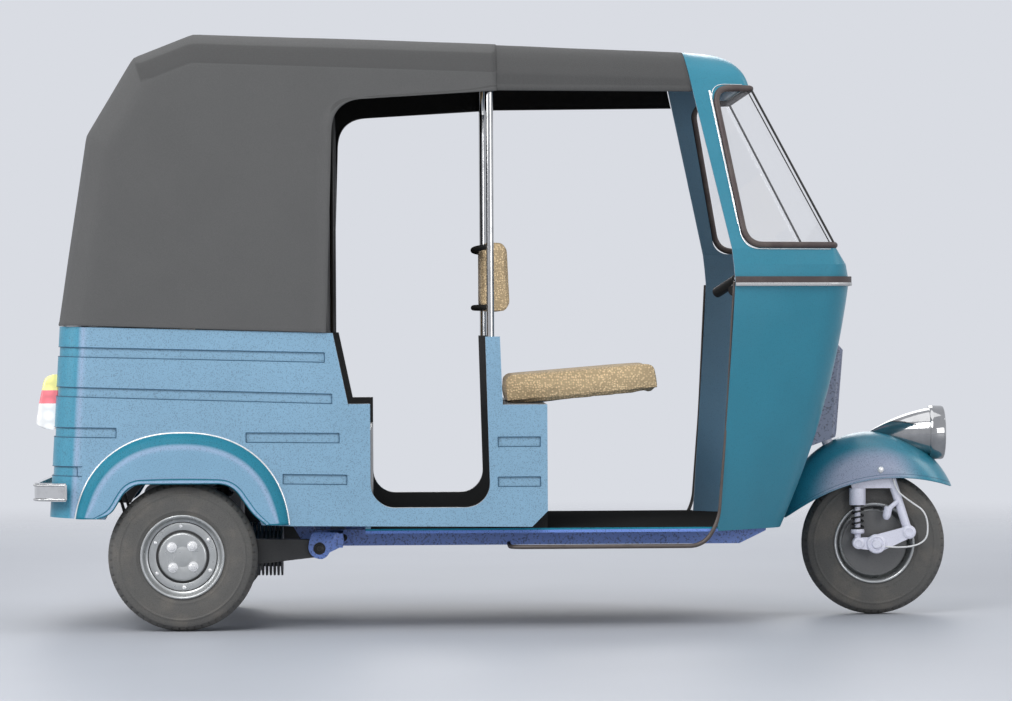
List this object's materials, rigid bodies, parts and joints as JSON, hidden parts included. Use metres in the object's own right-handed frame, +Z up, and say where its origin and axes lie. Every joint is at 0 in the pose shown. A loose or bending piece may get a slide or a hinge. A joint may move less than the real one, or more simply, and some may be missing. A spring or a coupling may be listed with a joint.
{
  "type": "auto rickshaw",
  "caption": "Three-wheeled passenger auto rickshaw with a fabric hood, open doorways, panoramic windscreen and a steered front wheel on a trailing-link fork.",
  "frame": {"origin": "on the floor, under the middle of the overall length and width", "axes": "+X forward, +Y to the vehicle's left, +Z up"},
  "size_m": [2.65, 1.3, 1.6839],
  "materials": {
    "chassis_blue": "blue paint, dull",
    "frame_black": "black paint",
    "floor_black": "black floor with a painted edge",
    "panel_blue": "light blue paint, dusty",
    "cowl_teal": "glossy teal paint",
    "seat_tan": "tan woven cover over foam",
    "hood_grey": "grey coated hood cloth",
    "roof_grey": "darker grey coated cloth",
    "bright": "polished chrome",
    "gasket": "brown-grey rubber",
    "pane": "clear windscreen glass",
    "lens_white": "clear lens",
    "lens_red": "red lens",
    "lens_amber": "amber lens",
    "spring_steel": "black springs and dampers",
    "engine_alloy": "cast alloy",
    "exhaust_steel": "dull steel",
    "tyre": "worn black tyre rubber",
    "rim_silver": "silver paint",
    "fork_lilac": "pale lilac paint",
    "cable_white": "pale cable sleeve",
    "lamp_glass": "clear headlamp glass",
    "grip_black": "black grips"
  },
  "bodies": {
    "body": {"chassis_rails": "chassis_blue", "cross_members": "chassis_blue", "arm_carriers": "chassis_blue", "steering_neck": "frame_black", "floor_pan": "floor_black", "side_panels": "panel_blue", "back_panel": "panel_blue", "rear_fenders": "cowl_teal", "seat_base": "panel_blue", "seat_box": "panel_blue", "driver_seat": "seat_tan", "driver_backrest": "seat_tan", "passenger_seat": "seat_tan", "passenger_backrest": "seat_tan", "hood": "hood_grey", "driver_roof": "roof_grey", "hood_bows": "frame_black", "roof_posts": "bright", "front_cowl": "cowl_teal", "cab_top": "cowl_teal", "windscreen_gasket": "gasket", "windscreen_glass": "pane", "cowl_trim": "gasket", "column_cover": "cowl_teal", "edge_tubes": "cowl_teal", "bumper": "bright", "tail_lens_white": "lens_white", "tail_lens_red": "lens_red", "tail_lens_amber": "lens_amber", "trailing_arms": "frame_black", "rear_shocks": "spring_steel", "engine": "engine_alloy", "muffler": "exhaust_steel"},
    "steering": {"fork": "fork_lilac", "front_link": "fork_lilac", "front_shock": "fork_lilac", "brake_cable": "cable_white", "front_mudguard": "cowl_teal", "headlamp_shell": "bright", "headlamp_lens": "lamp_glass", "handlebar": "bright", "handlebar_grips": "grip_black"},
    "front_wheel": {"front_tyre": "tyre", "front_wheel": "rim_silver"},
    "rear_wheel_right": {"rear_tyre_right": "tyre", "rear_wheel_right": "rim_silver"},
    "rear_wheel_left": {"rear_tyre_left": "tyre", "rear_wheel_left": "rim_silver"},
    "engine_lid": {"engine_lid": "panel_blue"}
  },
  "joints": [
    {"name": "steer", "type": "hinge", "parent": "body", "child": "steering", "pos_m": [0.961, 0, 0.502], "axis": [-0.342, 0, 0.9397], "range_deg": [-40, 40]},
    {"name": "front_wheel_spin", "type": "hinge", "parent": "steering", "child": "front_wheel", "pos_m": [1.092, 0, 0.21], "axis": [0, 1, 0], "continuous": true},
    {"name": "rear_wheel_right_spin", "type": "hinge", "parent": "body", "child": "rear_wheel_right", "pos_m": [-0.908, -0.565, 0.21], "axis": [0, 1, 0], "continuous": true},
    {"name": "rear_wheel_left_spin", "type": "hinge", "parent": "body", "child": "rear_wheel_left", "pos_m": [-0.908, 0.565, 0.21], "axis": [0, 1, 0], "continuous": true},
    {"name": "engine_lid_hinge", "type": "hinge", "parent": "body", "child": "engine_lid", "pos_m": [-1.2698, 0, 0.738], "axis": [0, 1, 0], "range_deg": [0, 75]}
  ]
}
